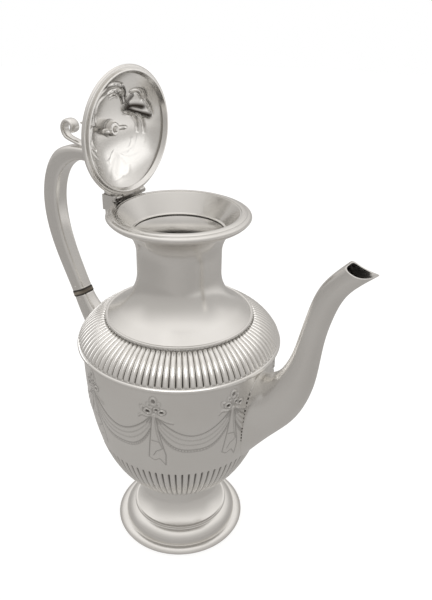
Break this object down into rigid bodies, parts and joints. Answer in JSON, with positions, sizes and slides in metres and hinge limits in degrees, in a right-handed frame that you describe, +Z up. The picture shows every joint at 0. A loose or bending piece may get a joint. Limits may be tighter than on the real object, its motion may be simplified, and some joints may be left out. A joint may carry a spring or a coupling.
{
  "type": "coffee pot",
  "caption": "Footed vase-shaped silver coffee pot with fluted shoulder and base, swag band, hinged domed lid, curved spout and loop handle with heat breaks.",
  "frame": {"origin": "middle of the foot on the table", "axes": "+Z up, +X out along the spout, -X along the handle, hinge pin along Y"},
  "size_m": [0.2231, 0.1228, 0.2963],
  "materials": {
    "silver": "polished silver with fine wear",
    "insulator": "dark close-grained, oiled"
  },
  "bodies": {
    "pot": {"foot_rim_wire": "silver", "foot": "silver", "foot_collar": "silver", "bowl": "silver", "girdle_moulding": "silver", "shoulder": "silver", "shoulder_ring": "silver", "neck": "silver", "rim_moulding": "silver", "mouth_bezel": "silver", "spout": "silver", "upper_socket": "silver", "handle_grip": "silver", "lower_socket": "silver", "insulator_pins": "silver", "thumb_scroll": "silver", "hinge_body_leaf": "silver", "hinge_pin": "silver", "upper_insulator": "insulator", "lower_insulator": "insulator"},
    "lid": {"lid_knuckles": "silver", "lid_rim_wire": "silver", "lid_dome": "silver", "lid_flange": "silver", "finial": "silver", "finial_stud": "silver", "finial_washer": "silver", "wing_nut": "silver"}
  },
  "joints": [
    {"name": "lid_hinge", "type": "hinge", "parent": "pot", "child": "lid", "pos_m": [-0.03595, 0, 0.22466], "axis": [0, 1, 0], "range_deg": [0, 90]}
  ]
}
